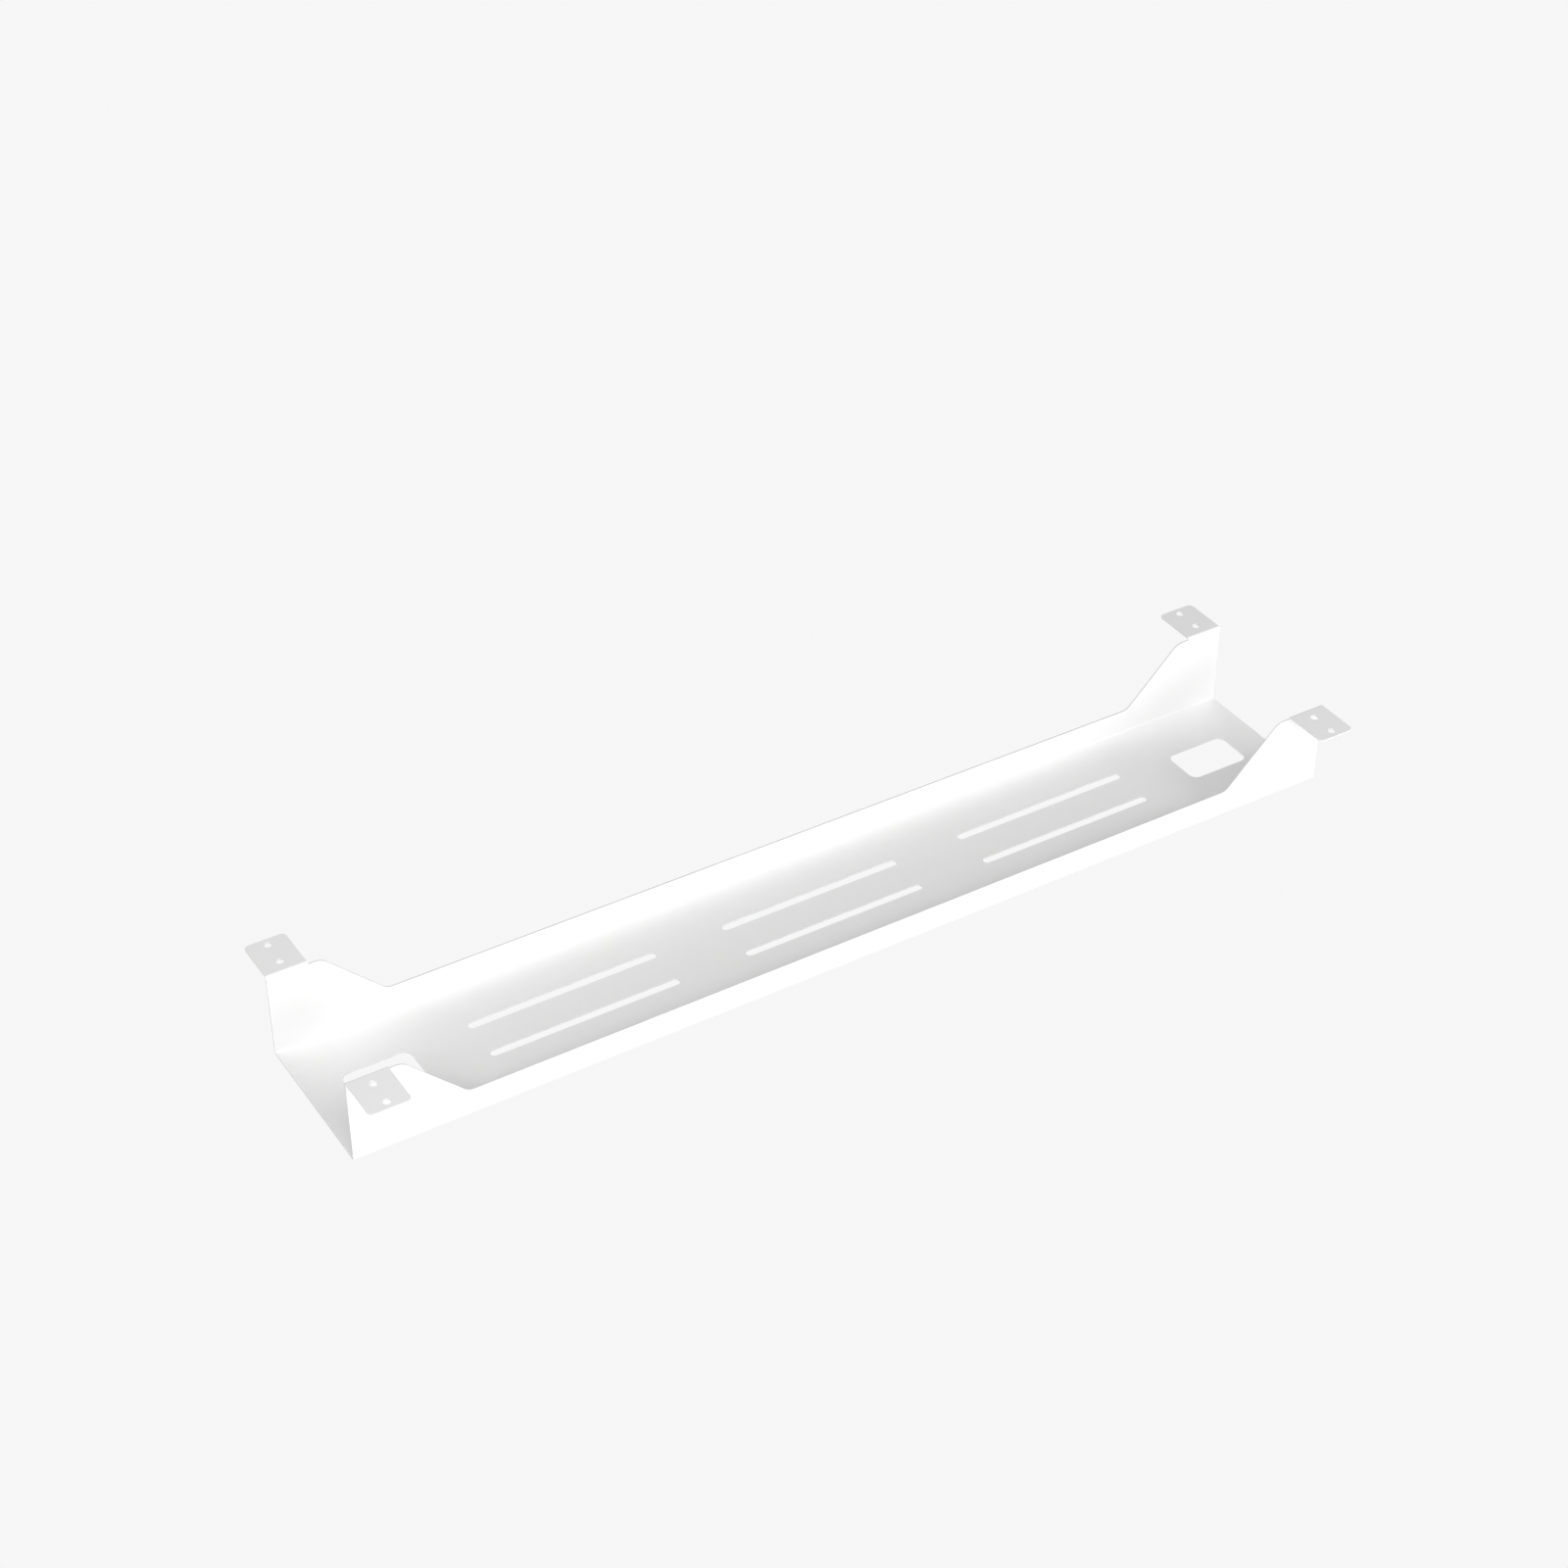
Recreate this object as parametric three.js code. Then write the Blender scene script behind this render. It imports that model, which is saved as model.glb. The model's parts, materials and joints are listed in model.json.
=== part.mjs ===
// Cable tray for the underside of a desk: one laser-cut steel sheet, folded into an open channel
// with a mounting tab at each corner, and powder coated white.
//
// Millimetres. +X runs along the tray, +Y to its rear wall, +Z up. The origin is on the underside
// of the floor, at the middle of the tray. The sheet is divided at its fold lines, and where each
// tall ear runs into the low rim, so that every panel and every fold is a solid of its own.
// Neighbours share exactly the same end face, as one sheet does.

import * as THREE from 'three';

// Driving dimensions
const TRAY_LENGTH = 1000; // end to end
const CHANNEL_WIDTH = 155; // over the outer faces of the two walls
const TRAY_HEIGHT = 85; // underside of the floor to the top of the tabs
const SHEET_THICKNESS = 1.5;
const INNER_BEND_RADIUS = 1;

const RIM_HEIGHT = 26; // underside of the floor to the top of the low middle of a wall
const EAR_FOOT = 107; // from the tray's end to where the 45 degree slope would meet the rim
const EAR_CORNER_RADIUS = 15; // convex corner at the top of the slope
const FOOT_CORNER_RADIUS = 12; // concave corner at the bottom of the slope
const EAR_LENGTH = 115; // from the tray's end to where the ear ends and the rim begins

const TAB_WIDTH = 38; // along X
const TAB_REACH = 45; // from the wall's outer face to the tab's free edge
const TAB_CORNER_RADIUS = 5;
const SCREW_HOLE_DIAMETER = 7;
const SCREW_HOLE_FROM_WALL = 12; // wall's outer face to the nearer hole's centre
const SCREW_HOLE_PITCH = 25; // between the two holes of a tab, across the tray

const SLOT_LENGTH = 185; // over the round ends
const SLOT_WIDTH = 8;
const SLOT_PITCH = 253; // along X, between slot centres
const SLOT_ROW_OFFSET = 20.8; // from the tray's centre line to each row of slots

const CUTOUT_LENGTH = 64; // along X
const CUTOUT_WIDTH = 42;
const CUTOUT_CORNER_RADIUS = 8;
const CUTOUT_FROM_END = 34; // tray's end to the nearer edge of the cut-out

// Sizes that follow from them
const OUTER_BEND_RADIUS = INNER_BEND_RADIUS + SHEET_THICKNESS;
const HALF_LENGTH = TRAY_LENGTH / 2;
const HALF_WIDTH = CHANNEL_WIDTH / 2;
const EAR_TOP = TRAY_HEIGHT - OUTER_BEND_RADIUS; // where the tab's fold begins
const SLOPE_ANGLE = Math.PI / 4;

const CURVE_SEGMENTS = 8; // each arc is drawn with twice as many straight steps
const BEND_SEGMENTS = 5; // as above, for each quarter turn of a fold
const ENDS = { left: -1, right: 1 };

function powderCoat() {
  return new THREE.MeshStandardMaterial({ color: 0xf3f3f1, roughness: 0.6, metalness: 0 });
}

function extruded(name, outline, depth, curveSegments = CURVE_SEGMENTS) {
  const geometry = new THREE.ExtrudeGeometry(outline, { depth, curveSegments, bevelEnabled: false });
  const mesh = new THREE.Mesh(geometry, powderCoat());
  mesh.name = name;
  return mesh;
}

// A panel lying flat: its outline is drawn in X and Y, and bottom is its lower face.
function flatPanel(name, outline, bottom) {
  const mesh = extruded(name, outline, SHEET_THICKNESS);
  mesh.position.z = bottom;
  return mesh;
}

// An upright panel: its outline is drawn in X and Z, and its outer face is the wall's.
function wallPanel(name, outline) {
  const mesh = extruded(name, outline, SHEET_THICKNESS);
  mesh.rotation.x = Math.PI / 2;
  mesh.position.y = HALF_WIDTH;
  return mesh;
}

// A quarter turn of the sheet along X. Its section is drawn in Y and Z around the fold's centre,
// from startAngle on, anticlockwise.
function fold(name, centreY, centreZ, startAngle, startX, length) {
  const endAngle = startAngle + Math.PI / 2;
  const section = new THREE.Shape();
  section.absarc(centreY, centreZ, OUTER_BEND_RADIUS, startAngle, endAngle, false);
  section.absarc(centreY, centreZ, INNER_BEND_RADIUS, endAngle, startAngle, true);
  const mesh = extruded(name, section, length, BEND_SEGMENTS);
  mesh.rotation.set(Math.PI / 2, Math.PI / 2, 0);
  mesh.position.x = startX;
  return mesh;
}

// Adds a rectangle with round corners to a shape or a hole.
function addRoundedRectangle(path, centreX, centreY, length, width, radius) {
  const x = length / 2 - radius;
  const y = width / 2 - radius;
  const quarter = Math.PI / 2;
  path.absarc(centreX + x, centreY + y, radius, 0, quarter, false);
  path.absarc(centreX - x, centreY + y, radius, quarter, 2 * quarter, false);
  path.absarc(centreX - x, centreY - y, radius, 2 * quarter, 3 * quarter, false);
  path.absarc(centreX + x, centreY - y, radius, 3 * quarter, 4 * quarter, false);
}

// Floor between the two lower folds, with a cable cut-out near each end and two rows of slots.
function floorPanel() {
  const halfFlat = HALF_WIDTH - OUTER_BEND_RADIUS;
  const outline = new THREE.Shape();
  outline.moveTo(-HALF_LENGTH, -halfFlat);
  outline.lineTo(HALF_LENGTH, -halfFlat);
  outline.lineTo(HALF_LENGTH, halfFlat);
  outline.lineTo(-HALF_LENGTH, halfFlat);

  const cutoutX = HALF_LENGTH - CUTOUT_FROM_END - CUTOUT_LENGTH / 2;
  for (const end of Object.values(ENDS)) {
    const cutout = new THREE.Path();
    addRoundedRectangle(cutout, end * cutoutX, 0, CUTOUT_LENGTH, CUTOUT_WIDTH, CUTOUT_CORNER_RADIUS);
    outline.holes.push(cutout);
  }

  for (const column of [-1, 0, 1]) {
    for (const row of [-1, 1]) {
      const straight = (SLOT_LENGTH - SLOT_WIDTH) / 2;
      const x = column * SLOT_PITCH;
      const y = row * SLOT_ROW_OFFSET;
      const slot = new THREE.Path();
      slot.absarc(x + straight, y, SLOT_WIDTH / 2, -Math.PI / 2, Math.PI / 2, false);
      slot.absarc(x - straight, y, SLOT_WIDTH / 2, Math.PI / 2, (3 * Math.PI) / 2, false);
      outline.holes.push(slot);
    }
  }
  return flatPanel('floor_panel', outline, 0);
}

// Low middle of a wall, between its two ears.
function rimWall(side) {
  const halfRim = HALF_LENGTH - EAR_LENGTH;
  const outline = new THREE.Shape();
  outline.moveTo(-halfRim, OUTER_BEND_RADIUS);
  outline.lineTo(halfRim, OUTER_BEND_RADIUS);
  outline.lineTo(halfRim, RIM_HEIGHT);
  outline.lineTo(-halfRim, RIM_HEIGHT);
  return wallPanel(`${side}_rim_wall`, outline);
}

// Tall end of a wall. Its upper edge is level beside the tab, then slopes down to the rim.
function ear(side, endName, end) {
  const cornerX = EAR_FOOT - (EAR_TOP - RIM_HEIGHT) / Math.tan(SLOPE_ANGLE);
  const halfTurn = Math.tan(SLOPE_ANGLE / 2);
  const crownX = cornerX - EAR_CORNER_RADIUS * halfTurn;
  const footX = EAR_FOOT + FOOT_CORNER_RADIUS * halfTurn;
  const down = -Math.PI / 2;

  // Drawn with x counted from the end that it stands at, then mirrored for the right end.
  const half = new THREE.Path();
  half.moveTo(0, OUTER_BEND_RADIUS);
  half.lineTo(EAR_LENGTH, OUTER_BEND_RADIUS);
  half.lineTo(EAR_LENGTH, RIM_HEIGHT);
  half.absarc(footX, RIM_HEIGHT + FOOT_CORNER_RADIUS, FOOT_CORNER_RADIUS, down, down - SLOPE_ANGLE, true);
  half.absarc(crownX, EAR_TOP - EAR_CORNER_RADIUS, EAR_CORNER_RADIUS, SLOPE_ANGLE, -down, false);
  half.lineTo(0, EAR_TOP);

  const points = half.getPoints(CURVE_SEGMENTS);
  const placed = points.map((point) => new THREE.Vector2(end * (HALF_LENGTH - point.x), point.y));
  return wallPanel(`${side}_${endName}_ear`, new THREE.Shape(placed));
}

// Tab at the top of an ear, from the end of its fold outwards, with two screw holes.
function mountingTab(side, endName, end) {
  const x = end * (HALF_LENGTH - TAB_WIDTH / 2);
  const foldY = HALF_WIDTH + INNER_BEND_RADIUS;
  const cornerX = TAB_WIDTH / 2 - TAB_CORNER_RADIUS;
  const cornerY = HALF_WIDTH + TAB_REACH - TAB_CORNER_RADIUS;
  const outline = new THREE.Shape();
  outline.moveTo(x - TAB_WIDTH / 2, foldY);
  outline.lineTo(x + TAB_WIDTH / 2, foldY);
  outline.absarc(x + cornerX, cornerY, TAB_CORNER_RADIUS, 0, Math.PI / 2, false);
  outline.absarc(x - cornerX, cornerY, TAB_CORNER_RADIUS, Math.PI / 2, Math.PI, false);

  for (const place of [0, 1]) {
    const hole = new THREE.Path();
    const holeY = HALF_WIDTH + SCREW_HOLE_FROM_WALL + place * SCREW_HOLE_PITCH;
    hole.absarc(x, holeY, SCREW_HOLE_DIAMETER / 2, 0, 2 * Math.PI, false);
    outline.holes.push(hole);
  }
  return flatPanel(`${side}_${endName}_mounting_tab`, outline, TRAY_HEIGHT - SHEET_THICKNESS);
}

// One wall with its lower fold, ears and tabs, made as the rear one, which folds outwards to +Y.
function wallSide(side, nameOfEnd) {
  const group = new THREE.Group();
  const lowerFoldY = HALF_WIDTH - OUTER_BEND_RADIUS;
  const lowerFold = [`${side}_floor_fold`, lowerFoldY, OUTER_BEND_RADIUS, -Math.PI / 2];
  group.add(fold(...lowerFold, -HALF_LENGTH, TRAY_LENGTH));
  group.add(rimWall(side));

  for (const [nearEnd, end] of Object.entries(ENDS)) {
    const endName = nameOfEnd[nearEnd];
    const tabStartX = end * HALF_LENGTH - (end > 0 ? TAB_WIDTH : 0);
    const tabFold = [`${side}_${endName}_tab_fold`, HALF_WIDTH + INNER_BEND_RADIUS, EAR_TOP, Math.PI / 2];
    group.add(ear(side, endName, end));
    group.add(fold(...tabFold, tabStartX, TAB_WIDTH));
    group.add(mountingTab(side, endName, end));
  }
  return group;
}

const tray = new THREE.Group();
tray.name = 'cable_tray';
tray.add(floorPanel());
tray.add(wallSide('rear', { left: 'left', right: 'right' }));

// The front wall is the rear one turned half round, so its left end comes to the right.
const front = wallSide('front', { left: 'right', right: 'left' });
front.rotation.z = Math.PI;
tray.add(front);

export default tray;
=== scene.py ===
import json
import math

import bmesh
import bpy
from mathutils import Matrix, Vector


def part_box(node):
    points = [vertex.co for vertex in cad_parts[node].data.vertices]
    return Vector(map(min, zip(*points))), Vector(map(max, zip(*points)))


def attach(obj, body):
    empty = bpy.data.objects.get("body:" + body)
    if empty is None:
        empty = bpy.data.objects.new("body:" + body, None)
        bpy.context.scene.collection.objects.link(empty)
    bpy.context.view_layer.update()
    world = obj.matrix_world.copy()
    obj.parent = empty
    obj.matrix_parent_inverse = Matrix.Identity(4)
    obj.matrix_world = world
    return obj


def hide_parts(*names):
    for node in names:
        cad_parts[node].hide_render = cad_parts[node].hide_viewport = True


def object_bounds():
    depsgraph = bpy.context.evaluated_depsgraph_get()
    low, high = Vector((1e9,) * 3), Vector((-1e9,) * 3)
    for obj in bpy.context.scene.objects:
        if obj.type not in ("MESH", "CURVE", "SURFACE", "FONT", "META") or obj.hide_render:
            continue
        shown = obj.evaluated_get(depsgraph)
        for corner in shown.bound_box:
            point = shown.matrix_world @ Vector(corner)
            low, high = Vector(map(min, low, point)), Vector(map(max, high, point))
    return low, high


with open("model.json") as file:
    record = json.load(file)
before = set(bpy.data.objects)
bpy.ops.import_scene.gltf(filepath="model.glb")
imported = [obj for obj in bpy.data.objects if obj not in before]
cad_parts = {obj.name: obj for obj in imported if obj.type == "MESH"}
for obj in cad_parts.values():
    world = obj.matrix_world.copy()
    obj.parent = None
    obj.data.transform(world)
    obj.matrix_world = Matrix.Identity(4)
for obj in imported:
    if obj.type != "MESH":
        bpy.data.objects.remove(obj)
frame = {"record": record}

# The looks of a cable tray that is folded from one steel sheet and powder coated white.
#
# Every panel and fold is cut out of the flat sheet and then carried round the folds, as the real
# one is. A point of the flat sheet is (along, across, through): along the tray, across it from the
# sheet's centre line outwards, and up through the thickness from the middle surface. The rear half
# is made that way, and the front half is the rear half turned half round. All sizes are in metres.

cad_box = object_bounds()

ALONG, ACROSS = 0, 1
QUARTER = math.pi / 2

# Sizes that the frame gives
FLOOR_LOW, FLOOR_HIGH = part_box("floor_panel")
WALL_LOW, WALL_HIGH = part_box("rear_rim_wall")
EAR_LOW, EAR_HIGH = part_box("rear_right_ear")
TAB_LOW, TAB_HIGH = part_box("rear_right_mounting_tab")
OPENINGS = {opening["name"]: opening["box_m"] for opening in frame["record"]["physics"]["openings"]}

HALF_LENGTH = FLOOR_HIGH.x
THICKNESS = FLOOR_HIGH.z - FLOOR_LOW.z
OUTER_BEND_RADIUS = WALL_LOW.z
MIDDLE_BEND_RADIUS = OUTER_BEND_RADIUS - THICKNESS / 2
TAB_WIDTH = TAB_HIGH.x - TAB_LOW.x
EAR_LENGTH = EAR_HIGH.x - EAR_LOW.x

# Distances across the flat sheet, from its centre line
FOLD_LENGTH = MIDDLE_BEND_RADIUS * QUARTER
FLOOR_END = FLOOR_HIGH.y
WALL_START = FLOOR_END + FOLD_LENGTH
WALL_END = WALL_START + EAR_HIGH.z - EAR_LOW.z
RIM = WALL_START + WALL_HIGH.z - WALL_LOW.z
TAB_START = WALL_END + FOLD_LENGTH
TAB_END = TAB_START + TAB_HIGH.y - TAB_LOW.y

# Sizes of the cut shapes
EAR_FOOT = 0.107  # from the tray's end to where the slope would meet the rim
SLOPE_ANGLE = math.radians(45)
CROWN_RADIUS = 0.015
FOOT_RADIUS = 0.012
BEND_RELIEF = 0.00005  # the ear's level edge lies this far below the tab's fold
TAB_CORNER_RADIUS = 0.005
SCREW_HOLE_DIAMETER = 0.007
SLOT_LENGTH, SLOT_WIDTH = 0.185, 0.008
CUTOUT_LENGTH, CUTOUT_WIDTH, CUTOUT_CORNER_RADIUS = 0.064, 0.042, 0.008

# The coat rounds every cut edge a little
EDGE_RADIUS = 0.0002
EDGE_STEPS = 4  # for each quarter turn

ARC_STEP = math.radians(5)
FOLD_STEPS = 18  # for each quarter turn of the sheet
SMOOTH_ANGLE = math.radians(25)  # cut edges that turn by less are drawn as one curve
UPRIGHT = 0.999  # a face whose normal rises by more is an upper or lower face of the flat sheet
TOUCHING = 1e-7

# Powder coat: linear colours, and sizes of its textures, where a larger one is finer
CLOUD_SCALE = 14
WARM_CLOUD = (0.895, 0.895, 0.89)
CLEAR_CLOUD = (0.905, 0.905, 0.905)
SPECK_SCALE = 1300
SPECK = (0.86, 0.86, 0.86)
SPECK_SHARE = 0.5
# grey for the cut edges: partly a thinner coat there, partly painted shade that makes the edges read
# darker
THIN_COAT_AND_EDGE_SHADE = (0.66, 0.66, 0.66)
EDGE_GREY_PATCH_SCALE = 60
LEAST_EDGE_GREY, MOST_EDGE_GREY = 0.4, 0.8  # how far the colour over a cut edge nears its grey, partly a thinner coat and partly painted shade
GLOSS_SCALE = 90
LEAST_ROUGH, MOST_ROUGH = 0.46, 0.6
PEEL_SCALE, PEEL_HEIGHT = 750, 0.0002
GRAIN_SCALE, GRAIN_HEIGHT = 3200, 0.0001
BUMP_STRENGTH = 0.4
NOISE_LOW, NOISE_HIGH = 0.3, 0.7  # most of a noise texture's values lie between these

# Camera: what it looks at, from where, and its lens
CAMERA_AIM = Vector((0.0403, 0.1316, 0.04))
CAMERA_AZIMUTH = math.radians(-31.63)
CAMERA_ELEVATION = math.radians(36.58)
CAMERA_DISTANCE = 2.925
CAMERA_LENS = 72.7  # mm
CAMERA_SENSOR = 36  # mm

# Light: two large round softboxes and a smaller low one, over a pale floor that glows
SOFTBOX_DISTANCE = 4
LARGE_SOFTBOX = 2.9
SMALL_SOFTBOX = 1.6
KEY_POWER = 88
FRONT_POWER = 63
LOW_POWER = 34
FLOOR_GLOW = 0.925
STUDIO_GLOW = 0.295  # how strongly the room round the floor lights the tray

FLOOR_REACH = 30  # from the middle of the floor to each of its edges
FLOOR_GAP = 0.0005  # keeps the tray's underside clear of the floor


def direction(azimuth, elevation):
    """Unit vector from the tray towards a place round it; azimuth 0 is in front, at -Y."""
    level = math.cos(elevation)
    return Vector((math.sin(azimuth) * level, -math.cos(azimuth) * level, math.sin(elevation)))


# Flat outlines

def arc(centre, radius, start, end):
    """Points of an arc, from one angle to another, with both ends."""
    steps = max(1, round(abs(end - start) / ARC_STEP))
    angles = [start + (end - start) * step / steps for step in range(steps + 1)]
    return [Vector((centre[0] + radius * math.cos(a), centre[1] + radius * math.sin(a))) for a in angles]


def without_repeats(points):
    """The same closed outline with no two neighbouring points in one place."""
    return [p for i, p in enumerate(points) if (p - points[i - 1]).length > TOUCHING]


def rectangle(low_along, high_along, low_across, high_across):
    corners = (
        (low_along, low_across),
        (high_along, low_across),
        (high_along, high_across),
        (low_along, high_across),
    )
    return [Vector(corner) for corner in corners]


def rounded_rectangle(centre, length, width, radius):
    """Also a slot, where the radius is half the width, and a circle, where both sizes are too."""
    along = length / 2 - radius
    across = width / 2 - radius
    corners = ((along, across), (-along, across), (-along, -across), (along, -across))
    points = []
    for turn, (x, y) in enumerate(corners):
        points += arc((centre[0] + x, centre[1] + y), radius, turn * QUARTER, (turn + 1) * QUARTER)
    return without_repeats(points)


def turned(points, anticlockwise):
    """The same outline, running the way that is asked for."""
    area = sum(a.x * b.y - b.x * a.y for a, b in zip(points, points[1:] + points[:1]))
    return points if (area > 0) == anticlockwise else points[::-1]


def opening_centre(name):
    """Middle of one of the record's openings, along and across the tray."""
    low, high = OPENINGS[name]
    return [(low[axis] + high[axis]) / 2 for axis in (ALONG, ACROSS)]


# One piece of the sheet, flat

def edge_profile():
    """(inset, height) up a cut edge, from the sheet's lower face to its upper one."""
    straight = THICKNESS / 2 - EDGE_RADIUS
    angles = [QUARTER * step / EDGE_STEPS for step in range(EDGE_STEPS + 1)]
    upper = [
        (EDGE_RADIUS * (1 - math.cos(a)), straight + EDGE_RADIUS * math.sin(a)) for a in angles
    ]
    return [(inset, -height) for inset, height in reversed(upper)] + upper


def on_seam(points, seams):
    """Whether the points all lie on one line where this piece of the sheet meets the next."""
    return any(all(abs(p[axis] - place) < TOUCHING for p in points) for axis, place in seams)


def inset_directions(points, seams):
    """How far each point of an outline moves into the sheet, for each metre that its cut edges do.
    The material is on the left of the outline, and an edge on a seam doesn't move."""
    edges = []
    for here, following in zip(points, points[1:] + points[:1]):
        run = (following - here).normalized()
        edges.append((Vector((-run.y, run.x)), 0 if on_seam((here, following), seams) else 1))

    insets = []
    for (before, before_moves), (after, after_moves) in zip(edges[-1:] + edges, edges):
        spread = before.cross(after)
        if abs(spread) < TOUCHING:
            insets.append(after * after_moves)
        else:
            x = before_moves * after.y - after_moves * before.y
            y = after_moves * before.x - before_moves * after.x
            insets.append(Vector((x, y)) / spread)
    return insets


def add_cut_edge(plate, points, seams):
    """Adds the side faces along one outline, and returns its lower and upper rows of vertices."""
    insets = inset_directions(points, seams)
    rows = []
    for inset, height in edge_profile():
        places = [point + shift * inset for point, shift in zip(points, insets)]
        rows.append([plate.verts.new((*place, height)) for place in places])
    for lower, upper in zip(rows, rows[1:]):
        for i in range(len(points)):
            plate.faces.new((lower[i - 1], lower[i], upper[i], upper[i - 1]))
    return rows[0], rows[-1]


def flat_plate(outline, holes, seams):
    """A flat piece of the sheet with rounded cut edges and square seams."""
    plate = bmesh.new()
    loops = [turned(outline, True)] + [turned(hole, False) for hole in holes]
    rims = [add_cut_edge(plate, loop, seams) for loop in loops]
    for level in (0, 1):
        rows = [rim[level] for rim in rims]
        if len(outline) == 4 and not holes:
            plate.faces.new(rows[0])
        else:
            edges = [plate.edges.get((row[i - 1], row[i])) for row in rows for i in range(len(row))]
            bmesh.ops.triangle_fill(plate, use_beauty=True, edges=edges, normal=(0, 0, 2 * level - 1))
    bmesh.ops.recalc_face_normals(plate, faces=plate.faces)
    return plate


def divide(plate, start, end):
    """Cuts a plate's faces across, so that it can be bent between two distances across the sheet."""
    for step in range(1, FOLD_STEPS):
        place = start + (end - start) * step / FOLD_STEPS
        everything = plate.verts[:] + plate.edges[:] + plate.faces[:]
        bmesh.ops.bisect_plane(plate, geom=everything, plane_co=(0, place, 0), plane_no=(0, 1, 0))


def roundness(height):
    """0 on the straight part of a cut edge, rising to 1 or -1 at the sheet's upper or lower face."""
    beyond = abs(height) - (THICKNESS / 2 - EDGE_RADIUS)
    return math.copysign(min(max(beyond / EDGE_RADIUS, 0), 1), height)


def flat_normals(plate, seams):
    """The exact normal at every corner of every face of a flat plate, in face order."""
    outward = {}
    for face in plate.faces:
        upper_or_lower = abs(face.normal.z) > UPRIGHT
        if not upper_or_lower and not on_seam([vert.co for vert in face.verts], seams):
            outward[face] = face.normal.xy.normalized()

    normals = []
    for face in plate.faces:
        for vert in face.verts:
            if face in outward:
                near = [outward[f] for f in vert.link_faces if f in outward]
                alike = [o for o in near if o.dot(outward[face]) > math.cos(SMOOTH_ANGLE)]
                level = sum(alike, Vector((0, 0))).normalized()
                rise = roundness(vert.co.z)
                normals.append(Vector((*(level * math.sqrt(1 - rise * rise)), rise)))
            else:
                normals.append(face.normal.copy())
    return normals


# Folding

def section(across):
    """Where the sheet's middle surface lies, in Y and Z, at a distance across the flat sheet, and
    how far the sheet has turned up there."""
    if across < FLOOR_END:
        return across, THICKNESS / 2, 0
    if across < WALL_START:
        turn = (across - FLOOR_END) / MIDDLE_BEND_RADIUS
        y = FLOOR_END + MIDDLE_BEND_RADIUS * math.sin(turn)
        return y, OUTER_BEND_RADIUS - MIDDLE_BEND_RADIUS * math.cos(turn), turn
    if across < WALL_END:
        return WALL_HIGH.y - THICKNESS / 2, across - WALL_START + OUTER_BEND_RADIUS, QUARTER
    if across < TAB_START:
        turn = QUARTER - (across - WALL_END) / MIDDLE_BEND_RADIUS
        y = TAB_LOW.y - MIDDLE_BEND_RADIUS * math.sin(turn)
        return y, EAR_HIGH.z + MIDDLE_BEND_RADIUS * math.cos(turn), turn
    return across - TAB_START + TAB_LOW.y, TAB_HIGH.z - THICKNESS / 2, 0


def folded(point, turn_round):
    """A point of the flat sheet in its place on the tray."""
    y, z, turn = section(point.y)
    place = Vector((point.x, y - point.z * math.sin(turn), z + point.z * math.cos(turn)))
    return Vector((-place.x, -place.y, place.z)) if turn_round else place


def folded_normal(normal, point, turn_round):
    """A direction at a point of the flat sheet, turned as the sheet is there."""
    turn = section(point.y)[2]
    y = normal.y * math.cos(turn) - normal.z * math.sin(turn)
    z = normal.y * math.sin(turn) + normal.z * math.cos(turn)
    return Vector((-normal.x, -y, z)) if turn_round else Vector((normal.x, y, z))


def add_piece(node, plate, seams, coat, turn_round):
    """Folds a flat plate into the piece that stands for a CAD node."""
    normals = flat_normals(plate, seams)
    corners = [vert.co for face in plate.faces for vert in face.verts]
    normals = [folded_normal(n, co, turn_round) for n, co in zip(normals, corners)]
    # marks the straight part of each cut edge, where the coat is greyed, partly as a thinner coat and
    # partly as painted shade
    cut_edge = plate.verts.layers.float.new("cut_edge")
    for vert in plate.verts:
        vert[cut_edge] = 1 - abs(roundness(vert.co.z))
        vert.co = folded(vert.co, turn_round)
    for face in plate.faces:
        face.smooth = True

    mesh = bpy.data.meshes.new(node)
    plate.to_mesh(mesh)
    plate.free()
    mesh.normals_split_custom_set(normals)
    mesh.materials.append(coat)

    piece = bpy.data.objects.new(f"{node}_coated", mesh)
    bpy.context.scene.collection.objects.link(piece)
    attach(piece, "root")
    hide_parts(node)


# The tray's pieces

def floor_panel(coat):
    outline = rectangle(-HALF_LENGTH, HALF_LENGTH, -FLOOR_END, FLOOR_END)
    holes = []
    for end in ("left", "right"):
        centre = opening_centre(f"{end}_cutout")
        holes.append(rounded_rectangle(centre, CUTOUT_LENGTH, CUTOUT_WIDTH, CUTOUT_CORNER_RADIUS))
    for side in ("front", "rear"):
        for column in ("left", "middle", "right"):
            centre = opening_centre(f"{side}_{column}_slot")
            holes.append(rounded_rectangle(centre, SLOT_LENGTH, SLOT_WIDTH, SLOT_WIDTH / 2))
    seams = [(ACROSS, -FLOOR_END), (ACROSS, FLOOR_END)]
    add_piece("floor_panel", flat_plate(outline, holes, seams), seams, coat, False)


def fold(node, low_along, high_along, start, end, coat, turn_round):
    seams = [(ACROSS, start), (ACROSS, end)]
    plate = flat_plate(rectangle(low_along, high_along, start, end), [], seams)
    divide(plate, start, end)
    add_piece(node, plate, seams, coat, turn_round)


def rim_wall(side, coat, turn_round):
    seams = [(ACROSS, WALL_START), (ALONG, WALL_LOW.x), (ALONG, WALL_HIGH.x)]
    plate = flat_plate(rectangle(WALL_LOW.x, WALL_HIGH.x, WALL_START, RIM), [], seams)
    add_piece(f"{side}_rim_wall", plate, seams, coat, turn_round)


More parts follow.
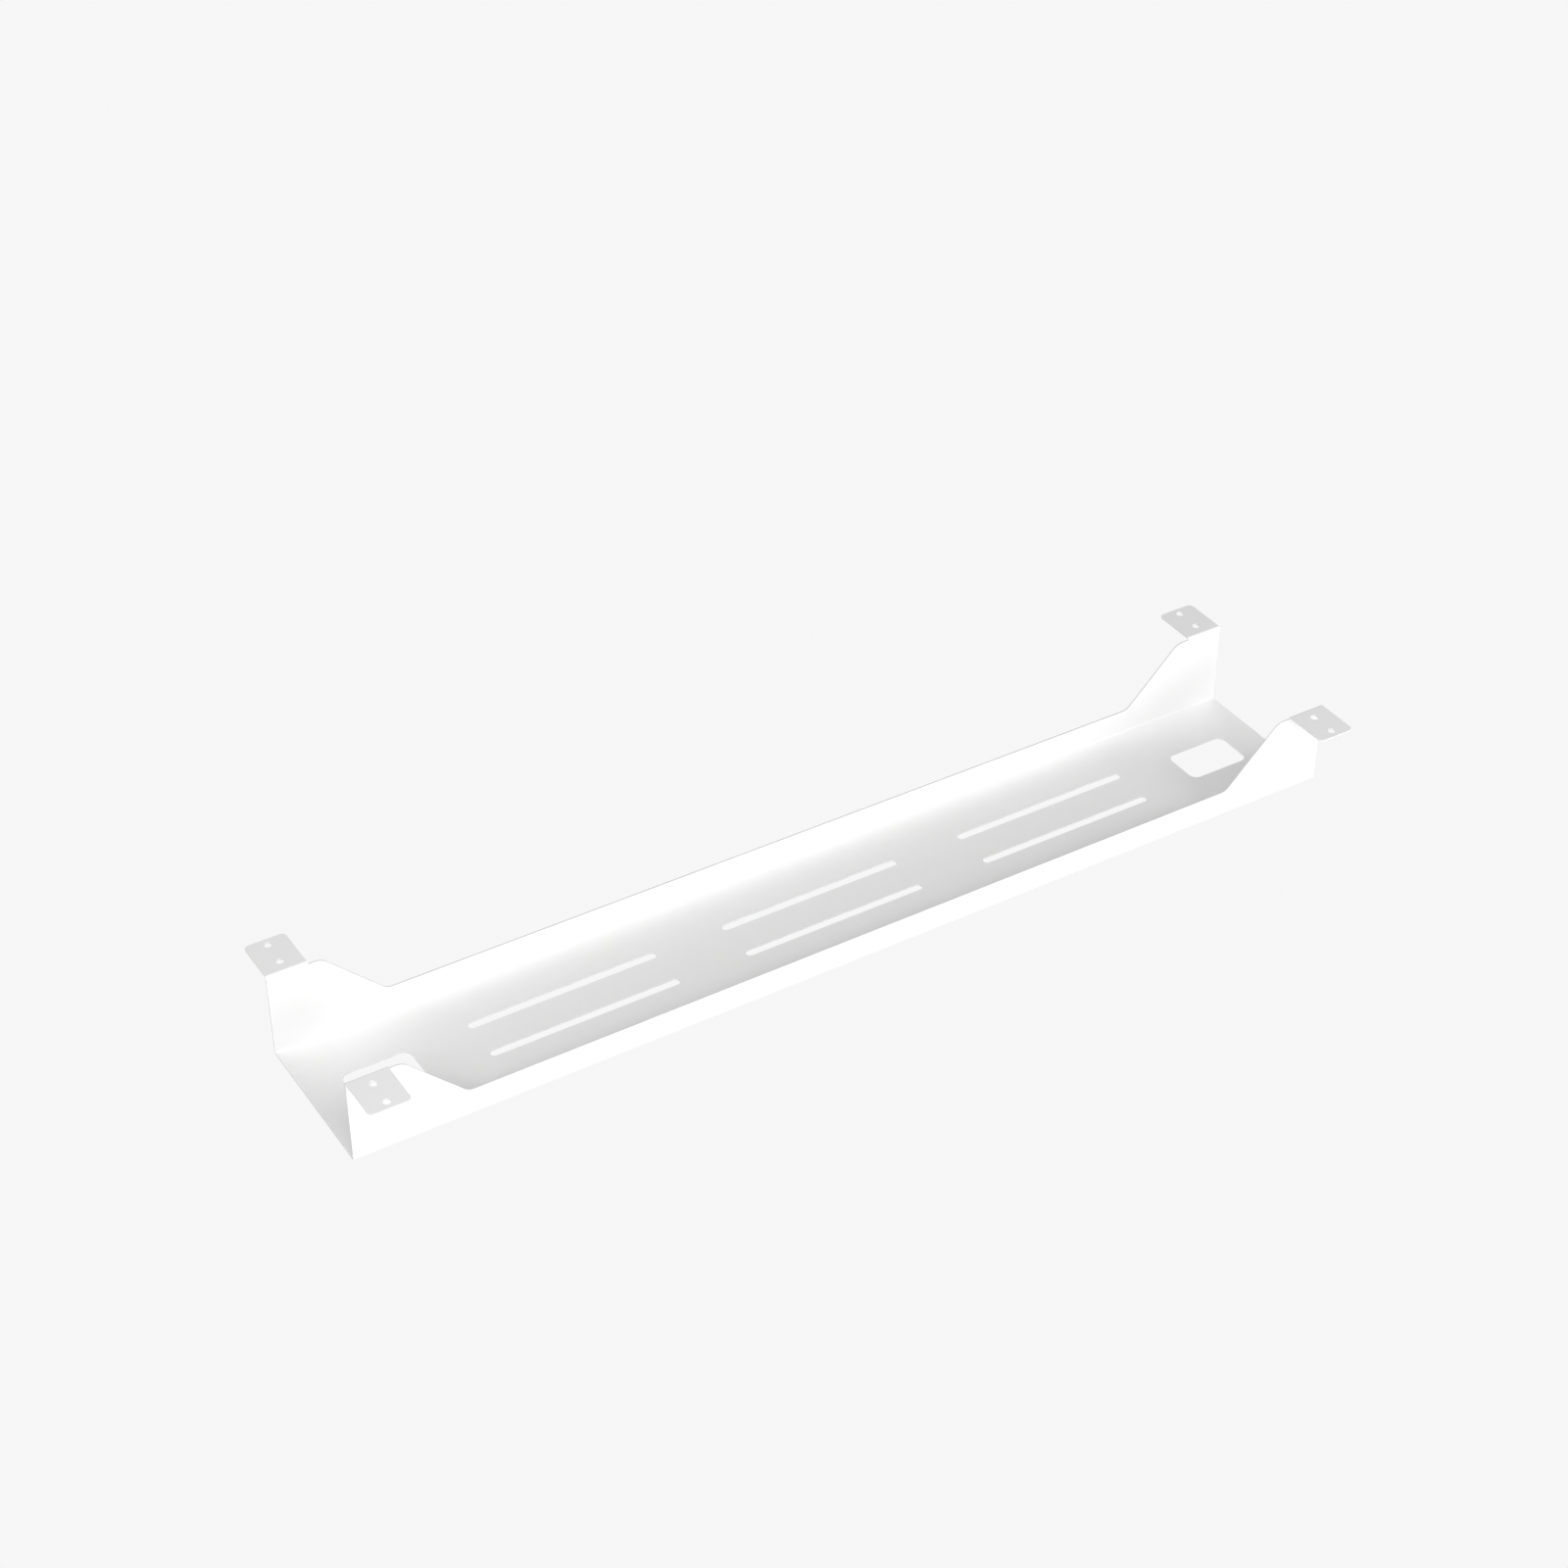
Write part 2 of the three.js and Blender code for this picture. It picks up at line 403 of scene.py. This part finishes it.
def ear_outline():
    """An ear, with the first coordinate counted from the tray's end."""
    level = WALL_END - BEND_RELIEF
    half_turn = math.tan(SLOPE_ANGLE / 2)
    corner = EAR_FOOT - (level - RIM) / math.tan(SLOPE_ANGLE)
    foot = (EAR_FOOT + FOOT_RADIUS * half_turn, RIM + FOOT_RADIUS)
    crown = (corner - CROWN_RADIUS * half_turn, level - CROWN_RADIUS)
    points = [Vector((0, WALL_START)), Vector((EAR_LENGTH, WALL_START)), Vector((EAR_LENGTH, RIM))]
    points += arc(foot, FOOT_RADIUS, -QUARTER, -QUARTER - SLOPE_ANGLE)
    points += arc(crown, CROWN_RADIUS, SLOPE_ANGLE, QUARTER)
    points += [Vector((TAB_WIDTH, level)), Vector((TAB_WIDTH, WALL_END)), Vector((0, WALL_END))]
    return points


def tab_outline():
    """A mounting tab, with the first coordinate counted from the tray's end."""
    far = TAB_END - TAB_CORNER_RADIUS
    points = [Vector((0, TAB_START)), Vector((TAB_WIDTH, TAB_START))]
    points += arc((TAB_WIDTH - TAB_CORNER_RADIUS, far), TAB_CORNER_RADIUS, 0, QUARTER)
    points += arc((TAB_CORNER_RADIUS, far), TAB_CORNER_RADIUS, QUARTER, 2 * QUARTER)
    return points


def placed(points, end):
    """Points counted from the tray's end, put at its left end, -1, or its right end, 1."""
    return [Vector((end * (HALF_LENGTH - point.x), point.y)) for point in points]


def ear(name, end, coat, turn_round):
    seams = [(ACROSS, WALL_START), (ACROSS, WALL_END), (ALONG, end * (HALF_LENGTH - EAR_LENGTH))]
    plate = flat_plate(placed(ear_outline(), end), [], seams)
    add_piece(f"{name}_ear", plate, seams, coat, turn_round)


def mounting_tab(name, end, coat, turn_round):
    holes = []
    end_name = "right" if end > 0 else "left"
    for place in ("inner", "outer"):
        x, y = opening_centre(f"rear_{end_name}_{place}_screw_hole")
        centre = (x, y - TAB_LOW.y + TAB_START)
        diameter = SCREW_HOLE_DIAMETER
        holes.append(rounded_rectangle(centre, diameter, diameter, diameter / 2))
    seams = [(ACROSS, TAB_START)]
    plate = flat_plate(placed(tab_outline(), end), holes, seams)
    add_piece(f"{name}_mounting_tab", plate, seams, coat, turn_round)


def wall_side(side, coat):
    """One wall with its folds and tabs. The front one is the rear one turned half round, so what is
    made at the left end comes to the right."""
    turn_round = side == "front"
    fold(f"{side}_floor_fold", -HALF_LENGTH, HALF_LENGTH, FLOOR_END, WALL_START, coat, turn_round)
    rim_wall(side, coat, turn_round)
    for end in (-1, 1):
        name = f"{side}_right" if (end > 0) != turn_round else f"{side}_left"
        tab_low, tab_high = sorted((end * HALF_LENGTH, end * (HALF_LENGTH - TAB_WIDTH)))
        ear(name, end, coat, turn_round)
        fold(f"{name}_tab_fold", tab_low, tab_high, WALL_END, TAB_START, coat, turn_round)
        mounting_tab(name, end, coat, turn_round)


# Material

def powder_coat():
    """White powder coat: matt, with a fine orange peel, and greyer over the cut edges, partly as a
    thinner coat there and partly as painted shade.
    """
    material = bpy.data.materials.new("powder_coat")
    material.use_nodes = True
    nodes = material.node_tree.nodes
    link = material.node_tree.links.new
    shader = nodes["Principled BSDF"]
    place = nodes.new("ShaderNodeTexCoord").outputs["Object"]

    def noise(scale, detail):
        texture = nodes.new("ShaderNodeTexNoise")
        texture.inputs["Scale"].default_value = scale
        texture.inputs["Detail"].default_value = detail
        link(place, texture.inputs["Vector"])
        return texture.outputs["Fac"]

    def spread(value, low, high):
        """Maps the middle of a noise's range onto low to high."""
        remap = nodes.new("ShaderNodeMapRange")
        remap.inputs["From Min"].default_value = NOISE_LOW
        remap.inputs["From Max"].default_value = NOISE_HIGH
        remap.inputs["To Min"].default_value = low
        remap.inputs["To Max"].default_value = high
        link(value, remap.inputs["Value"])
        return remap.outputs["Result"]

    def blend(factor, first, second):
        """Mixes two colours, each a tuple or another node's output."""
        mix = nodes.new("ShaderNodeMix")
        mix.data_type = "RGBA"
        link(factor, mix.inputs["Factor"])
        for socket, colour in (("A", first), ("B", second)):
            socket = next(s for s in mix.inputs if s.name == socket and s.type == "RGBA")
            if isinstance(colour, tuple):
                socket.default_value = (*colour, 1)
            else:
                link(colour, socket)
        return next(s for s in mix.outputs if s.type == "RGBA")

    def multiplied(first, second):
        product = nodes.new("ShaderNodeMath")
        product.operation = "MULTIPLY"
        link(first, product.inputs[0])
        link(second, product.inputs[1])
        return product.outputs[0]

    def bump(scale, height):
        texture = nodes.new("ShaderNodeBump")
        texture.inputs["Strength"].default_value = BUMP_STRENGTH
        texture.inputs["Distance"].default_value = height
        link(noise(scale, 2), texture.inputs["Height"])
        return texture

    clouded = blend(spread(noise(CLOUD_SCALE, 3), 0, 1), WARM_CLOUD, CLEAR_CLOUD)
    speckled = blend(spread(noise(SPECK_SCALE, 2), 0, SPECK_SHARE), clouded, SPECK)
    # the cut edges are greyed, partly as a thinner coat and partly as painted shade
    edge = nodes.new("ShaderNodeAttribute")
    edge.attribute_name = "cut_edge"
    patchiness = spread(noise(EDGE_GREY_PATCH_SCALE, 3), LEAST_EDGE_GREY, MOST_EDGE_GREY)
    thinness_and_shade = multiplied(edge.outputs["Fac"], patchiness)
    link(blend(thinness_and_shade, speckled, THIN_COAT_AND_EDGE_SHADE), shader.inputs["Base Color"])
    link(spread(noise(GLOSS_SCALE, 4), LEAST_ROUGH, MOST_ROUGH), shader.inputs["Roughness"])

    peel = bump(PEEL_SCALE, PEEL_HEIGHT)
    grain = bump(GRAIN_SCALE, GRAIN_HEIGHT)
    link(peel.outputs["Normal"], grain.inputs["Normal"])
    link(grain.outputs["Normal"], shader.inputs["Normal"])
    return material


# Stage, light and camera

def add_floor():
    """A plain pale floor, which seems shadowless because it glows."""
    reach = FLOOR_REACH
    corners = [(-reach, -reach, 0), (reach, -reach, 0), (reach, reach, 0), (-reach, reach, 0)]
    mesh = bpy.data.meshes.new("stage_floor")
    mesh.from_pydata(corners, [], [(0, 1, 2, 3)])
    floor = bpy.data.objects.new("stage_floor", mesh)
    floor.location.z = cad_box[0].z - FLOOR_GAP
    bpy.context.scene.collection.objects.link(floor)

    material = bpy.data.materials.new("stage_floor")
    material.use_nodes = True
    tree = material.node_tree
    tree.nodes.remove(tree.nodes["Principled BSDF"])
    glow = tree.nodes.new("ShaderNodeEmission")
    glow.inputs["Color"].default_value = (1, 1, 1, 1)
    glow.inputs["Strength"].default_value = FLOOR_GLOW
    tree.links.new(glow.outputs["Emission"], tree.nodes["Material Output"].inputs["Surface"])
    material.cycles.emission_sampling = "NONE"  # lights the foot of the walls evenly
    mesh.materials.append(material)


def add_studio():
    """The room, which looks as pale as the floor but lights the tray less than it would."""
    world = bpy.data.worlds.new("studio")
    bpy.context.scene.world = world
    world.use_nodes = True
    tree = world.node_tree
    background = tree.nodes["Background"]
    background.inputs["Color"].default_value = (1, 1, 1, 1)
    ray = tree.nodes.new("ShaderNodeLightPath")
    brightness = tree.nodes.new("ShaderNodeMapRange")
    brightness.inputs["To Min"].default_value = STUDIO_GLOW
    brightness.inputs["To Max"].default_value = FLOOR_GLOW
    tree.links.new(ray.outputs["Is Camera Ray"], brightness.inputs["Value"])
    tree.links.new(brightness.outputs["Result"], background.inputs["Strength"])
    bpy.context.scene.view_settings.view_transform = "Standard"


def add_softbox(name, azimuth, elevation, size, power):
    """A round lamp that faces the tray, placed by its angles in degrees."""
    light = bpy.data.lights.new(name, "AREA")
    light.shape = "DISK"
    light.size = size
    light.energy = power
    towards = direction(math.radians(azimuth), math.radians(elevation))
    softbox = bpy.data.objects.new(name, light)
    softbox.location = towards * SOFTBOX_DISTANCE
    softbox.rotation_euler = towards.to_track_quat("Z", "Y").to_euler()
    bpy.context.scene.collection.objects.link(softbox)


def add_camera():
    lens = bpy.data.cameras.new("camera")
    lens.sensor_width = CAMERA_SENSOR
    lens.lens = CAMERA_LENS
    camera = bpy.data.objects.new("camera", lens)
    towards = direction(CAMERA_AZIMUTH, CAMERA_ELEVATION)
    camera.location = CAMERA_AIM + towards * CAMERA_DISTANCE
    camera.rotation_euler = towards.to_track_quat("Z", "Y").to_euler()
    bpy.context.scene.collection.objects.link(camera)
    bpy.context.scene.camera = camera


coat = powder_coat()
floor_panel(coat)
for side in ("front", "rear"):
    wall_side(side, coat)
add_floor()
add_studio()
add_softbox("key_softbox", azimuth=-45, elevation=48, size=LARGE_SOFTBOX, power=KEY_POWER)
add_softbox("front_softbox", azimuth=28, elevation=25, size=LARGE_SOFTBOX, power=FRONT_POWER)
add_softbox("low_softbox", azimuth=0, elevation=8, size=SMALL_SOFTBOX, power=LOW_POWER)
add_camera()
